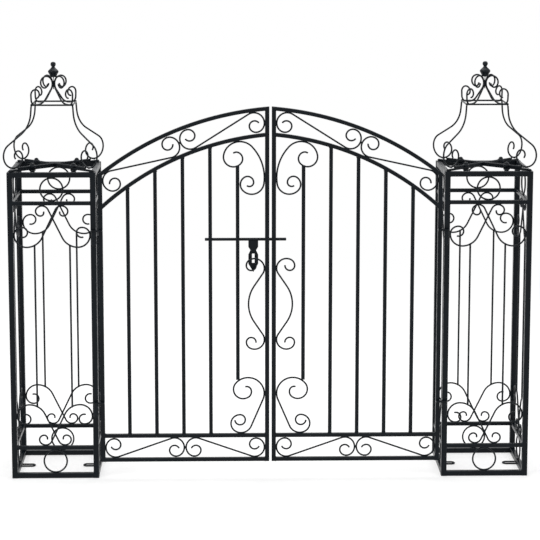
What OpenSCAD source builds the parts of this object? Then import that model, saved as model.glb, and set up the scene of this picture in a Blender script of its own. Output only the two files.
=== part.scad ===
// Ornamental wrought iron garden gate: two square open-work posts with
// crowns, and two arched leaves that meet under one round top, closed by a
// sliding bolt.
//
// Frame: +X runs along the gate from the left post to the right one, +Y runs
// back, +Z is up. The origin is the middle of the underside of the left
// post's front bottom rail, which stands on the ground.

/* [Posts] */
// Outer side of a square post
post_w = 205; // [160:1:300]
// Height of a post's square frame, without its crown
post_h = 729; // [500:1:1200]
// Side of the square corner tubes
post_tube = 13; // [10:0.5:20]
// Side of the top and bottom rails
post_end_rail = 12; // [8:0.5:16]
// Side of the two inner rails
post_mid_rail = 9; // [6:0.5:12]
// Height of the lower inner rail's underside
low_rail_z = 69; // [50:1:100]
// Drop from the post's top to the upper inner rail's top
top_rail_drop = 68; // [50:1:100]
// Diameter of the long thin rods in the post's sides
post_rod_d = 4.5; // [3:0.5:6]
// Distance of those rods from the middle of the side
post_rod_x = 41; // [30:1:60]

/* [Gate] */
// Clear width between the posts
clear_w = 810; // [700:1:1200]
// Gap between a leaf and its post
hinge_gap = 5.2; // [5:0.1:10]
// Gap between the two leaves
meet_gap = 5.6; // [5.4:0.1:10]
// Height of the leaves' underside above the ground
leaf_z = 39; // [20:1:80]
// Height of a leaf at its hinge side
leaf_side_z = 725; // [600:1:1000]
// Height of a leaf at the meeting side
leaf_meet_z = 881; // [750:1:1200]
// Radius of the top arch's upper edge
arch_r = 726; // [600:1:1100]
// Drop from the top arch to the lower arch
arch_drop = 60; // [45:1:80]
// Side of the square stiles
stile = 10; // [8:0.5:16]
// Side of the leaf's rails and arches
leaf_rail = 9; // [7:0.5:12]
// Side of the upright bars
bar = 8.5; // [6:0.5:12]
// Height between the two bottom rails
frieze_h = 49; // [40:1:70]
// Number of full-height bars in a leaf
bar_count = 4; // [3:1:5]
// Spacing of the bars, middle to middle
bar_pitch = 63.7; // [50:0.1:72]
// Lower end of the short bar
short_bar_z = 236; // [200:1:300]

/* [Scrollwork] */
// Diameter of the scroll wire
wire = 4; // [2.5:0.1:5]
// Depth that a scroll's wire is sunk in the tube or rail that it is fused to
weld = 0.5; // [0.3:0.1:0.8]
// Gap between a scroll and a separate piece that it is welded to
seat = 0.25; // [0.1:0.05:0.5]
// Ratio of a curl's radius to the radius before it
shrink = 0.7; // [0.55:0.01:0.85]
// Swelling of a wire where two bends join, as a share of its diameter
swell = 1.09; // [1.06:0.01:1.15]

/* [Crown] */
// Side of the square collar
collar_w = 96.5; // [80:0.5:140]
// Height of the collar above the post's top
collar_h = 147; // [110:1:200]
// Reach of the legs from the post's axis
crown_reach = 152; // [130:1:180]
// Radius of a leg's foot curl
foot_r = 29; // [20:1:36]
// Side of the flat bars that cross the post's top
cross_bar = 5; // [4:0.5:8]
// Diameter of the rods that cross under the crown
base_rod = 5; // [4:0.5:8]
// Diameter of the finial's bulb
finial_d = 25; // [18:1:36]
// Height of the finial
finial_h = 33; // [28:1:50]

/* [Hinges and bolt] */
// Outer diameter of the hinge barrels
barrel_d = 11.5; // [10:0.5:16]
// Height of a hinge barrel
barrel_h = 30; // [20:1:50]
// Diameter of the hinge pins
pin_d = 6; // [5:0.5:8]
// Height of the lower hinge's middle
low_hinge_z = 166; // [130:1:250]
// Height of the upper hinge's middle
high_hinge_z = 576; // [450:1:650]
// Diameter of the bolt rod
bolt_d = 7; // [5:0.5:10]
// Height of the bolt
bolt_z = 569; // [400:1:680]
// Length of the bolt rod
bolt_len = 190; // [150:1:260]
// Reach of the shot bolt past the gate's middle
bolt_reach = 37; // [25:1:45]
// Thickness of the bolt's handle plate
plate_t = 2.5; // [2:0.5:4]

/* [Hidden] */
$fn = 32;

iron = "#23282c";
slack = 0.1;                           // half the gap inside a swelling
mid_x = post_w/2 + clear_w/2;          // the gate's middle
axis_y = (post_w - post_tube)/2;       // a post's axis, behind its front tubes
front_y = -post_tube/2;                // the posts' front plane
side_off = (post_w - post_tube)/2;     // a post's axis to its tubes' middles
inner_w = post_w - 2*post_tube;        // width between a post's tubes

// ---- bent round wire ------------------------------------------------------
// A wire runs round a list of pegs [x, y, r], as a belt runs round pulleys.
// r is the bend's radius: over zero it turns left, under zero it turns right,
// and zero is a plain end. Everything is drawn flat in XY.

function clip(v) = max(-1, min(1, v));

// Heading of the straight stretch between pegs p and q
function heading(p, q) =
  let (dx = q[0] - p[0], dy = q[1] - p[1])
  atan2(dy, dx) - asin(clip((q[2] - p[2])/norm([dx, dy])));

// Point where a wire with heading h passes peg p
function passes(p, h) = [p[0] + p[2]*sin(h), p[1] - p[2]*cos(h)];

// Peg of radius r that takes over from peg p at heading h
function takes_over(p, h, r) =
  let (at = passes(p, h)) [at[0] - r*sin(h), at[1] + r*cos(h), r];

// Angle turned on a peg between two headings, in the peg's own direction
function turned(p, h0, h1) =
  p[2] > 0 ? (h1 - h0 + 720) % 360 : -((h0 - h1 + 720) % 360);

// Each stretch stops short of its neighbours, inside the small round swelling
// that joins them
module arc(p, h, turn, d) {
  cut = sign(turn)*slack/abs(p[2])*180/PI;
  from = h - 90*sign(p[2]) + cut;
  sweep = turn - 2*cut;
  translate([p[0], p[1], 0]) rotate(min(from, from + sweep))
    rotate_extrude(angle = abs(sweep), $fn = 64) translate([abs(p[2]), 0]) circle(d = d);
}

module straight(a, b, d) {
  run = b - a;
  translate([a[0], a[1], 0]) rotate([0, 0, atan2(run[1], run[0])]) rotate([0, 90, 0])
    translate([0, 0, slack]) cylinder(h = norm(run) - 2*slack, d = d);
}

// Its poles lie along the wire, on heading h
module swelling(at, h, d)
  translate([at[0], at[1], 0]) rotate([0, 0, h]) rotate([0, 90, 0]) rotate(40)
    sphere(d = swell*d);

// Inward curl from peg p at heading h: one sweep per entry of turns, each
// on a radius that is tight times the one before
module curl(p, h, turns, d, tight = shrink, i = 0) {
  turn = sign(p[2])*turns[i];
  arc(p, h, turn, d);
  swelling(passes(p, h + turn), h + turn, d);
  if (i + 1 < len(turns))
    curl(takes_over(p, h + turn, p[2]*tight), h + turn, turns, d, tight, i + 1);
}

// Wire round a list of pegs, with a curl on its first and last ones. tight
// holds those two curls' ratios
module wire_run(pegs, first = [], last = [], d = wire, tight = [shrink, shrink]) {
  n = len(pegs);
  heads = [for (i = [0:n - 2]) heading(pegs[i], pegs[i + 1])];
  for (i = [0:n - 2]) {
    a = passes(pegs[i], heads[i]);
    b = passes(pegs[i + 1], heads[i]);
    swelling(a, heads[i], d);
    if (norm(b - a) > 3*slack) {
      straight(a, b, d);
      swelling(b, heads[i], d);
    }
  }
  for (i = [1:1:n - 2]) {
    turn = turned(pegs[i], heads[i - 1], heads[i]);
    if (abs(turn) > 0.5 && abs(turn) < 359.5) arc(pegs[i], heads[i - 1], turn, d);
  }
  p = pegs[0];
  if (len(first) > 0) curl([p[0], p[1], -p[2]], heads[0] + 180, first, d, tight[0]);
  if (len(last) > 0) curl(pegs[n - 1], heads[n - 2], last, d, tight[1]);
}

module ring(r, d = wire) rotate_extrude($fn = 64) translate([r, 0]) circle(d = d);

// Stands a flat drawing up: its Y becomes +Z
module upright() rotate([90, 0, 0]) children();

// Draws its children and their mirror image about the plane x = at
module both(at = 0) {
  children();
  translate([2*at, 0, 0]) mirror([1, 0, 0]) children();
}

// ---- one side of a post ---------------------------------------------------
// Drawn in XZ about the side's middle, centred on y = 0

top_rail_z = post_h - post_end_rail;
high_rail_z = post_h - top_rail_drop - post_mid_rail;

small_curl_r = 15.7;
small_curl_x = 22.6;
big_curl_r = 28.5;
stem_r = 40;
motif_h = 99;                          // rail to the motif's lowest wire, at its middle

// The scrolls reach bite past the tubes' inner faces
function big_curl_x(bite) = inner_w/2 + bite - wire/2 - big_curl_r;

// Two crossed S scrolls that hang from a rail at z = 0, between the tubes
module post_scrolls(bite) {
  small = [-small_curl_x, weld - small_curl_r - wire/2, -small_curl_r];
  big = [big_curl_x(bite), big_curl_r - motif_h, big_curl_r];
  stem = takes_over(big, 0, stem_r);
  both() upright()
    wire_run([small, stem, big], first = [110, 180], last = [105, 265], tight = [0.8, 0.56]);
}

// Height at which a rod under the motif meets its wire
function rod_end(bite) =
  stem_r - motif_h - sqrt(pow(stem_r, 2) - pow(post_rod_x - big_curl_x(bite), 2));

module side_rails(w) {
  for (rail = [[0, post_end_rail], [low_rail_z, post_mid_rail],
               [high_rail_z, post_mid_rail], [top_rail_z, post_end_rail]])
    translate([-w/2, -rail[1]/2, rail[0]]) cube([w, rail[1], rail[1]]);
}

module side_work(bite) {
  low_top = low_rail_z + post_mid_rail;
  rod_top = high_rail_z + rod_end(bite);
  rod_foot = low_top - rod_end(bite);
  for (gap = [[post_end_rail, low_rail_z], [high_rail_z + post_mid_rail, top_rail_z]])
    translate([0, 0, (gap[0] + gap[1])/2])
      upright() ring((gap[1] - gap[0] - wire)/2 + weld);
  translate([0, 0, high_rail_z]) post_scrolls(bite);
  translate([0, 0, low_top]) mirror([0, 0, 1]) post_scrolls(bite);
  both() translate([post_rod_x, 0, rod_foot]) cylinder(h = rod_top - rod_foot, d = post_rod_d);
}

// Panel with its two corner tubes
module tube_panel() {
  both() translate([side_off - post_tube/2, -post_tube/2, 0])
    cube([post_tube, post_tube, post_h]);
  side_rails(inner_w);
  side_work(weld);
}

// Panel between the tubes of the front and back panels
module plain_panel() {
  side_rails(inner_w);
  side_work(-seat);
}

module front_panel() color(iron) tube_panel();
module back_panel() color(iron) translate([0, 2*axis_y, 0]) tube_panel();
module outer_panel() color(iron)
  translate([-side_off, axis_y, 0]) rotate([0, 0, 90]) plain_panel();
module gate_panel() color(iron)
  translate([side_off, axis_y, 0]) rotate([0, 0, 90]) plain_panel();

// ---- top of a post --------------------------------------------------------

cross_r = side_off*sqrt(2);              // axis to a corner tube's middle
base_z = post_h + cross_bar + base_rod/2;

module spokes() for (a = [45, 135]) rotate([0, 0, a]) children();
module corners() for (a = [45:90:315]) rotate([0, 0, a]) children();

module top_cross() color(iron) translate([0, axis_y, post_h])
  spokes() translate([-cross_r, -cross_bar/2, 0]) cube([2*cross_r, cross_bar, cross_bar]);

module crown_base() color(iron) translate([0, axis_y, base_z])
  difference() {
    spokes() rotate([0, 90, 0]) cylinder(h = 2*base_reach, d = base_rod, center = true);
    corners() translate([bolt_ring_r, 0, 0]) cylinder(h = 3*base_rod, d = clamp_d, center = true);
  }

// The rods end where the legs' feet rise off them
foot_rise = 1.5;
foot_seat = base_rod/2 + wire/2 + seat - foot_rise;
base_reach = crown_reach - foot_r - sqrt(pow(foot_r, 2) - pow(foot_r - foot_seat, 2));
bolt_ring_r = cross_r/2;
clamp_d = 16;
clamp_play = 0.1;
washer_h = 2.5;
cap_d = 10.6;
nut_w = 12;
nut_h = 3.5;

// A nut and a washer under the flat bar, and a collar and a domed cap round the rod
module crown_bolts() color(iron) translate([0, axis_y, post_h])
  corners() translate([bolt_ring_r, 0, 0]) {
    translate([0, 0, -washer_h]) cylinder(h = washer_h, d = clamp_d - 2*clamp_play);
    translate([0, 0, -washer_h - nut_h]) cylinder(h = nut_h, d = nut_w, $fn = 6);
    translate([0, 0, cross_bar]) cylinder(h = base_rod + 0.6, d = clamp_d - 2*clamp_play);
    translate([0, 0, cross_bar + base_rod + 0.6]) sphere(d = cap_d);
  }

// ---- crown ----------------------------------------------------------------
// Each leg and scroll is drawn with x as the distance from the post's axis

collar_z = post_h + collar_h;
collar_r = collar_w/sqrt(2);
foot_z = base_z + foot_rise;
neck_r = 60;
foot_shrink = 0.6;

module crown_legs() color(iron) translate([0, axis_y, 0]) corners() upright() {
  foot = [crown_reach - foot_r, foot_z + foot_r, foot_r];
  neck = [collar_r + neck_r + 1.5, collar_z - 10, -neck_r];
  wire_run([foot, neck, [collar_r, collar_z + wire - swell*wire - seat, 0]], first = [205, 90, 170],
           tight = [foot_shrink, 1]);
}

module crown_collar() color(iron) translate([0, axis_y, collar_z + wire])
  for (a = [0:90:270]) rotate([0, 0, a]) translate([collar_w/2, 0, 0]) rotate([90, 0, 0]) {
    cylinder(h = collar_w - 2*slack, d = wire, center = true);
    translate([0, 0, collar_w/2]) rotate([0, 45, 0]) sphere(d = swell*wire);
  }

throat = 0.875*wire;                   // the scrolls' distance from the axis, at their waist
dip = 3.9;                             // how far their low bends hang in between the collar's wires
head_r = 18.5;
head_z = 50;

module crown_scrolls() color(iron) translate([0, axis_y, collar_z]) corners() upright() {
  head = [throat + head_r, head_z, -head_r];
  bow = takes_over(head, 90, -40);
  low = 12 + 2*wire - dip;
  wire_run([[collar_r - 12.5, low + 10.9, -12.5], [collar_r - 12.5, low, -12], bow, head],
           first = [170, 110], last = [130, 120, 110]);
}

finial_z = head_z + head_r;            // the bulb sits in the hollow of the heads

// A turned vase on a foot, with a small ball on its neck and a pin below
module finial() color(iron) translate([0, axis_y, collar_z + finial_z]) {
  pin_r = throat - swell*wire/2 - seat;
  wide = finial_d/2;
  rotate_extrude($fn = 48) polygon([[0, -30], [pin_r, -30], [pin_r, -3], [7.8, -3], [7.8, -1],
    [9.6, 4], [wide - 0.4, 8], [wide, 10], [wide - 0.6, 12.6], [8, 16], [5, 19], [3.8, 21.5],
    [5.4, 23.6], [6.2, 26], [6.2, 29], [5, finial_h - 1.4], [2.5, finial_h - 0.2], [0, finial_h]]);
}

// ---- peg loops and hinges -------------------------------------------------

peg_w = 16;
peg_reach = 31;
peg_d = 4;

module peg_loop() {
  end = swell*peg_d/2 + seat;
  wire_run([[end, -peg_w/2, 0], [peg_reach - peg_w/2, 0, peg_w/2], [end, peg_w/2, 0]], d = peg_d);
}

module peg_loops() color(iron) translate([0, axis_y, peg_d/2])
  both() translate([-side_off + post_end_rail/2, 0, 0]) peg_loop();

// The hinge axis runs in front of the post's gate-side front tube
hinge_x = post_w/2 - 5;
hinge_y = front_y - barrel_d/2;
pin_play = 0.05;
hinge_heights = [low_hinge_z, high_hinge_z];

module hinge_barrels() color(iron) for (z = hinge_heights)
  translate([hinge_x, hinge_y, z - barrel_h/2]) difference() {
    cylinder(h = barrel_h, d = barrel_d, $fn = 48);
    translate([0, 0, -1]) cylinder(h = barrel_h + 2, d = pin_d + 2*pin_play, $fn = 48);
  }

// ---- leaves ---------------------------------------------------------------
// Drawn as the left leaf; the right one is its mirror image

leaf_x0 = post_w/2 + hinge_gap;
leaf_x1 = mid_x - meet_gap/2;
leaf_w = leaf_x1 - leaf_x0;
leaf_y = front_y + stile/2;
leaf_back_y = front_y + stile;
bay_x0 = leaf_x0 + stile;
bay_x1 = leaf_x1 - stile;
low_rail_top = leaf_z + leaf_rail;
frieze_z = low_rail_top + frieze_h;

// Centre of the arches, from their two ends and their radius
arch_ends = [[leaf_x0, leaf_side_z], [leaf_x1, leaf_meet_z]];
arch_chord = arch_ends[1] - arch_ends[0];
arch_rise = sqrt(arch_r*arch_r - pow(norm(arch_chord)/2, 2));
arch_c = (arch_ends[0] + arch_ends[1])/2
         + arch_rise*[arch_chord[1], -arch_chord[0]]/norm(arch_chord);

function arch_z(r, x) = arch_c[1] + sqrt(r*r - pow(x - arch_c[0], 2));
low_arch_r = arch_r - arch_drop;

// A band of the arch between two radii, cut to the leaf's own width
module arch_band(r, x0, x1) intersection() {
  translate([arch_c[0], leaf_y, arch_c[1]]) rotate([90, 0, 0])
    difference() {
      cylinder(h = leaf_rail, r = r, center = true, $fn = 360);
      cylinder(h = leaf_rail + 1, r = r - leaf_rail, center = true, $fn = 360);
    }
  translate([x0, leaf_y - leaf_rail, arch_c[1] + r/3])
    cube([x1 - x0, 2*leaf_rail, r]);
}

// Upright of side s whose top follows an arch of radius r
module upright_bar(x, s, z0, r) intersection() {
  translate([x - s/2, leaf_y - s/2, z0]) cube([s, s, leaf_meet_z]);
  translate([arch_c[0], leaf_y, arch_c[1]]) rotate([90, 0, 0])
    cylinder(h = 2*s, r = r, center = true, $fn = 360);
}

// Bars are counted from the short one, beside the meeting stile
function bar_x(i) = bay_x1 - (i + 1)*bar_pitch;

module left_leaf_panel() color(iron) {
  upright_bar(leaf_x0 + stile/2, stile, leaf_z, arch_r);
  upright_bar(leaf_x1 - stile/2, stile, leaf_z, arch_r);
  arch_band(arch_r, bay_x0, bay_x1);
  arch_band(low_arch_r, bay_x0, bay_x1);
  for (z = [leaf_z, frieze_z])
    translate([bay_x0, leaf_y - leaf_rail/2, z]) cube([bay_x1 - bay_x0, leaf_rail, leaf_rail]);
  for (i = [1:bar_count]) upright_bar(bar_x(i), bar, frieze_z + leaf_rail, low_arch_r - leaf_rail/2);
}

frieze_curl = (frieze_h - wire)/2 - seat;
arch_gap = arch_drop - leaf_rail;
arch_curl = (arch_gap - wire)/2 - seat;
arch_mid_r = arch_r - leaf_rail - arch_gap/2;
end_turns = [150, 90, 100];

// Angle on the arch's middle line at which a curl touches the line x
function arch_angle(x) = acos((x - arch_c[0])/arch_mid_r);
function arch_peg(a, turn) =
  [arch_c[0] + arch_mid_r*cos(a), arch_c[1] + arch_mid_r*sin(a), turn*arch_curl];

module left_arch_scrolls() color(iron) translate([0, leaf_y, 0]) upright() {
  a0 = arch_angle(bay_x0 + arch_curl + wire/2 + seat);
  a1 = arch_angle(bay_x1 - arch_curl - wire/2 - seat);
  half = asin((arch_curl + wire/2 + seat)/arch_mid_r);
  mid = (a0 + a1)/2;
  wire_run([arch_peg(a0, -1), arch_peg(mid + half, 1)], first = end_turns, last = end_turns);
  wire_run([arch_peg(mid - half, 1), arch_peg(a1, -1)], first = end_turns, last = end_turns);
}

module left_bottom_scrolls() color(iron) translate([0, leaf_y, 0]) upright()
  both((bay_x0 + bay_x1)/2) {
    z = low_rail_top + frieze_h/2;
    a = bay_x0 + frieze_curl + wire/2 + seat;
    b = (bay_x0 + bay_x1)/2 - frieze_curl - wire/2 - seat;
    wire_run([[a, z, frieze_curl], [b, z, -frieze_curl]], first = end_turns, last = end_turns);
  }

module left_centre_scrolls() color(iron) translate([0, leaf_y, 0]) {
  touch = bay_x1 - wire/2 - seat;
  upright() {
    // top: a C scroll under the lower arch
    low = [touch - 29.3, arch_z(low_arch_r - leaf_rail, touch - 55.5) - 98, -28.5];
    side = takes_over(low, -98, -105);
    top = takes_over(side, -47, -38.5);
    hang = takes_over(top, 80, -23);
    wire_run([hang, top, side, low], first = [150, 110, 110], last = [130, 100, 120]);
    // middle: an open brace beside the bolt
    z = 417;
    wire_run([[touch - 23, z + 85, -23], [touch + 39, z, 76], [touch - 23, z - 85, -23]],
             first = [150, 100, 70], last = [150, 100, 70]);
    // bottom: a C scroll on the upper bottom rail
    foot_r1 = 26;
    foot = [touch - 55, frieze_z + leaf_rail + foot_r1 + wire/2 + seat, -foot_r1];
    head = [touch - 50, foot[1] + 79, -22.7];
    brow = takes_over(head, 50, -38);
    wire_run([head, brow, foot, takes_over(foot, 150, -21.5)],
             first = [180, 190], last = [150, 190], tight = [0.5, 0.57]);
  }
  translate([bar_x(0) - bar/2, -bar/2, short_bar_z])
    cube([bar, bar, 744 - short_bar_z]);
}

// Pin through a barrel, on an arm that reaches the hinge-side stile
module left_hinge_pins() color(iron) for (z = hinge_heights) {
  translate([hinge_x, hinge_y, z - barrel_h/2 - 4])
    cylinder(h = barrel_h + 8, d = pin_d, $fn = 48);
  translate([0, 0, z + barrel_h/2 + 0.5]) linear_extrude(height = 4)
    union() {
      translate([hinge_x, hinge_y]) circle(d = barrel_d - 1);
      polygon([[hinge_x, hinge_y - 4], [leaf_x0 + stile, hinge_y - 4],
               [leaf_x0 + stile, front_y], [leaf_x0, front_y], [hinge_x, hinge_y + 4]]);
    }
}

// ---- bolt -----------------------------------------------------------------

bolt_play = 0.3;
plate_gap = 5;                         // handle plate to the leaf's back
bolt_y = leaf_back_y + plate_gap + plate_t/2;
keeper_wall = 2.5;
bolt_x1 = mid_x + bolt_reach;
handle_x = mid_x - 40;

// Sleeve round the bolt on the back of an upright at x, of width s
module keeper(x, s) difference() {
  union() {
    translate([x, bolt_y, bolt_z]) rotate([0, 90, 0])
      cylinder(h = s, d = bolt_d + 2*bolt_play + 2*keeper_wall, center = true, $fn = 48);
    translate([x - s/2, leaf_back_y, bolt_z - bolt_d/2 - bolt_play - keeper_wall])
      cube([s, bolt_y - leaf_back_y, bolt_d + 2*bolt_play + 2*keeper_wall]);
  }
  translate([x, bolt_y, bolt_z]) rotate([0, 90, 0])
    cylinder(h = s + 2, d = bolt_d + 2*bolt_play, center = true, $fn = 48);
}

module left_bolt_keepers() color(iron) keeper(leaf_x1 - stile/2, stile - 2);
module right_bolt_keepers() color(iron) keeper(2*mid_x - leaf_x1 + stile/2, stile - 2);

module bolt_rod() color(iron)
  translate([bolt_x1 - bolt_len, bolt_y, bolt_z]) rotate([0, 90, 0])
    cylinder(h = bolt_len, d = bolt_d, $fn = 48);

module bolt_handle() color(iron) difference() {
  translate([handle_x, bolt_y + plate_t/2, bolt_z]) rotate([90, 0, 0])
    linear_extrude(height = plate_t) difference() {
      polygon([[-11.5, 0], [11.5, 0], [11.5, -18], [6.5, -26], [11.5, -36], [11.5, -58],
               [0, -78], [-11.5, -58], [-11.5, -36], [-6.5, -26], [-11.5, -18]]);
      translate([-3, -56]) square([6, 22]);
    }
  translate([handle_x, bolt_y, bolt_z]) rotate([0, 90, 0])
    cylinder(h = 40, d = bolt_d, center = true, $fn = 48);
}

// ---- assembly -------------------------------------------------------------

module right_side() translate([2*mid_x, 0, 0]) mirror([1, 0, 0]) children();

front_panel();  // left_front_panel
back_panel();  // left_back_panel
outer_panel();  // left_outer_panel
gate_panel();  // left_gate_panel
top_cross();  // left_top_cross
crown_base();  // left_crown_base
crown_bolts();  // left_crown_bolts
crown_legs();  // left_crown_legs
crown_collar();  // left_crown_collar
crown_scrolls();  // left_crown_scrolls
finial();  // left_finial
peg_loops();  // left_peg_loops
hinge_barrels();  // left_hinge_barrels
right_side() front_panel();  // right_front_panel
right_side() back_panel();  // right_back_panel
right_side() outer_panel();  // right_outer_panel
right_side() gate_panel();  // right_gate_panel
right_side() top_cross();  // right_top_cross
right_side() crown_base();  // right_crown_base
right_side() crown_bolts();  // right_crown_bolts
right_side() crown_legs();  // right_crown_legs
right_side() crown_collar();  // right_crown_collar
right_side() crown_scrolls();  // right_crown_scrolls
right_side() finial();  // right_finial
right_side() peg_loops();  // right_peg_loops
right_side() hinge_barrels();  // right_hinge_barrels
left_leaf_panel();
left_arch_scrolls();
left_bottom_scrolls();
left_centre_scrolls();
left_hinge_pins();
left_bolt_keepers();
right_side() left_leaf_panel();  // right_leaf_panel
right_side() left_arch_scrolls();  // right_arch_scrolls
right_side() left_bottom_scrolls();  // right_bottom_scrolls
right_side() left_centre_scrolls();  // right_centre_scrolls
right_side() left_hinge_pins();  // right_hinge_pins
right_bolt_keepers();
bolt_rod();
bolt_handle();
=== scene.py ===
import math

import bpy
import numpy as np
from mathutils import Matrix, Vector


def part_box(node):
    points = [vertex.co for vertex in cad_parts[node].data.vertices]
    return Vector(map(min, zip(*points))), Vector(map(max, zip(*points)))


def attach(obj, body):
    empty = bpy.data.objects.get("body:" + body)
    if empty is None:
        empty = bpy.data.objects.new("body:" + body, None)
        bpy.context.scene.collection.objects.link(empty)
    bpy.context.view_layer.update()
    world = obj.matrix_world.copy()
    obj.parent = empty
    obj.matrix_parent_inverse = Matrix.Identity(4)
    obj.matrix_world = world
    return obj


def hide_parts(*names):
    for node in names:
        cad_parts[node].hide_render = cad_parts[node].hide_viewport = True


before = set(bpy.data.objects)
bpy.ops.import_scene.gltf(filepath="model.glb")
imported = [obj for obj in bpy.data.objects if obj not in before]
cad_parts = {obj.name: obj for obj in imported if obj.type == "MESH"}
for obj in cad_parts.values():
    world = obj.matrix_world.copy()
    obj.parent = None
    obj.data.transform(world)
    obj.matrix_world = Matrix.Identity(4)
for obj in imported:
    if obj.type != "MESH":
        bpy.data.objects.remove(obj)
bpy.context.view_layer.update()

scene = bpy.context.scene
scene.view_settings.view_transform = "Standard"

# Frame: X from the left post to the right one, Y back, Z up, all in metres

camera = dict(place=(0.4093, -4.300, 1.311), pitch=8.258, yaw=-1.104,
              lens=124.9, sensor=36, shift=(0.0113, -0.1485), clipEnd=60)

studio = dict(
    floorColour="#ffffff", floorSize=9.0, floorX=0.5, floorZ=-0.0005,
    floorFade=(1.1, 3.2),           # the floor gives way to the background between these distances
    floorGlow=0.55,                 # share of plain white in the floor that the camera sees
    fillLight=0.52, aim=(0.5, 0.1, 0.4),
    # each soft box: where it stands, its side in metres and its power in watts
    softBoxes=(("keyLight", (-2.6, -3.4, 3.6), 2.4, 95.0),
               ("sideLight", (3.8, -2.2, 2.4), 2.2, 45.0),
               ("topLight", (0.5, 0.9, 3.4), 2.8, 90.0)))


def linear(hexColour):
    # sRGB to linear: c / 12.92 near black, else ((c + 0.055) / 1.055) to the power 2.4
    c = np.array([int(hexColour[k:k + 2], 16) for k in (1, 3, 5)])/255
    return (*np.where(c <= 0.04045, c/12.92, ((c + 0.055)/1.055)**2.4), 1.0)


def addNode(tree, kind, inputs=(), **settings):
    # one node: its settings, then each input as a value or as a link from another node's output
    node = tree.nodes.new(kind)
    for key, value in settings.items():
        setattr(node, key, value)
    for socket, value in dict(inputs).items():
        if isinstance(value, bpy.types.NodeSocket):
            tree.links.new(value, node.inputs[socket])
        else:
            node.inputs[socket].default_value = value
    return node


def emptyTree(owner):
    owner.use_nodes = True
    owner.node_tree.nodes.clear()
    return owner.node_tree


def addObject(name, data):
    made = bpy.data.objects.new(name, data)
    scene.collection.objects.link(made)
    return made


def setCamera():
    made = addObject("camera", bpy.data.cameras.new("camera"))
    made.location = camera["place"]
    made.rotation_euler = (math.radians(90 - camera["pitch"]), 0, math.radians(camera["yaw"]))
    made.data.lens, made.data.sensor_width = camera["lens"], camera["sensor"]
    made.data.shift_x, made.data.shift_y = camera["shift"]
    made.data.clip_end = camera["clipEnd"]
    scene.camera = made


def backgroundShare(tree):
    # 1 where the background is seen, straight or in a reflection, and 0 where it only lights
    rays = addNode(tree, "ShaderNodeLightPath").outputs
    seen = rays["Is Camera Ray"]
    for kind in ("Is Glossy Ray", "Is Transmission Ray"):
        seen = addNode(tree, "ShaderNodeMath", {0: seen, 1: rays[kind]},
                       operation="MAXIMUM").outputs[0]
    return seen


def setWorld():
    scene.world = bpy.data.worlds.new("paleStudio")
    tree = emptyTree(scene.world)
    level = addNode(tree, "ShaderNodeMix", {0: backgroundShare(tree), 2: studio["fillLight"],
                    3: 1.0}).outputs[0]
    back = addNode(tree, "ShaderNodeBackground", {"Color": (1, 1, 1, 1), "Strength": level})
    addNode(tree, "ShaderNodeOutputWorld", {"Surface": back.outputs[0]})


def setFloor():
    # matt white paint that keeps the shadow near the gate and clears towards the background
    half = studio["floorSize"]/2
    mesh = bpy.data.meshes.new("floor")
    mesh.from_pydata([(studio["floorX"] + x*half, y*half, studio["floorZ"])
                      for x, y in ((-1, -1), (1, -1), (1, 1), (-1, 1))], [], [(0, 1, 2, 3)])
    addObject("floor", mesh)
    paint = bpy.data.materials.new("mattWhiteFloorPaint")
    tree = emptyTree(paint)
    place = addNode(tree, "ShaderNodeTexCoord").outputs["Object"]
    place = addNode(tree, "ShaderNodeMapping",
                    {"Vector": place, "Location": (-studio["floorX"], 0, 0)}).outputs[0]
    far = addNode(tree, "ShaderNodeVectorMath", {0: place}, operation="LENGTH").outputs["Value"]
    gone = addNode(tree, "ShaderNodeMapRange", {"Value": far, "From Min": studio["floorFade"][0],
                   "From Max": studio["floorFade"][1]}, interpolation_type="SMOOTHSTEP").outputs[0]
    flat = addNode(tree, "ShaderNodeBsdfDiffuse", {"Color": linear(studio["floorColour"])})
    glow = addNode(tree, "ShaderNodeEmission", {"Color": (1, 1, 1, 1), "Strength": 1.0})
    share = addNode(tree, "ShaderNodeMath", {0: backgroundShare(tree), 1: studio["floorGlow"]},
                    operation="MULTIPLY").outputs[0]
    lit = addNode(tree, "ShaderNodeMixShader", {0: share, 1: flat.outputs[0], 2: glow.outputs[0]})
    clear = addNode(tree, "ShaderNodeBsdfTransparent")
    both = addNode(tree, "ShaderNodeMixShader", {0: gone, 1: lit.outputs[0], 2: clear.outputs[0]})
    addNode(tree, "ShaderNodeOutputMaterial", {"Surface": both.outputs[0]})
    mesh.materials.append(paint)


def setSoftBoxes():
    # each is turned so that its face looks at the aim
    for name, place, side, power in studio["softBoxes"]:
        lamp = bpy.data.lights.new(name, "AREA")
        lamp.size, lamp.energy = side, power
        box = addObject(name, lamp)
        box.location = place
        away = np.array(place) - np.array(studio["aim"])
        box.rotation_euler = (math.atan2(math.hypot(away[0], away[1]), away[2]), 0,
                              math.atan2(away[0], -away[1]))


setCamera()
setWorld()
setFloor()
setSoftBoxes()
print("camera and studio set")

# Polyester powder coat on mild steel, sprayed dry and baked, in satin black. To the eye it is a
# near black with a cool cast and broad, soft highlights. It has faint orange peel and slow clouds
# from uneven spraying, and is thinner and paler where it drew back from an edge.
powderCoat = dict(
    colour="#060b10", cloud="#0c141a", worn="#2b343b",
    # each noise: its size, its detail, the range of it that is drawn out, and into what range
    noises=dict(cloud=(0.070, 3.0, (0.35, 0.68), (0.0, 0.55)),      # as wide as a spray pass
                thin=(0.009, 4.0, (0.42, 0.66), (0.0, 0.55)),       # patches along an edge
                rough=(0.024, 3.0, (0.35, 0.65), (0.24, 0.36))),
    peelSize=0.0016, peelDetail=1.5,    # orange peel is 1 to 2 mm from crest to crest
    peelDepth=0.00007,                  # the real 0.01 mm is too fine to show, so it is deeper
    noiseRoughness=0.55, specular=0.14)


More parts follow.
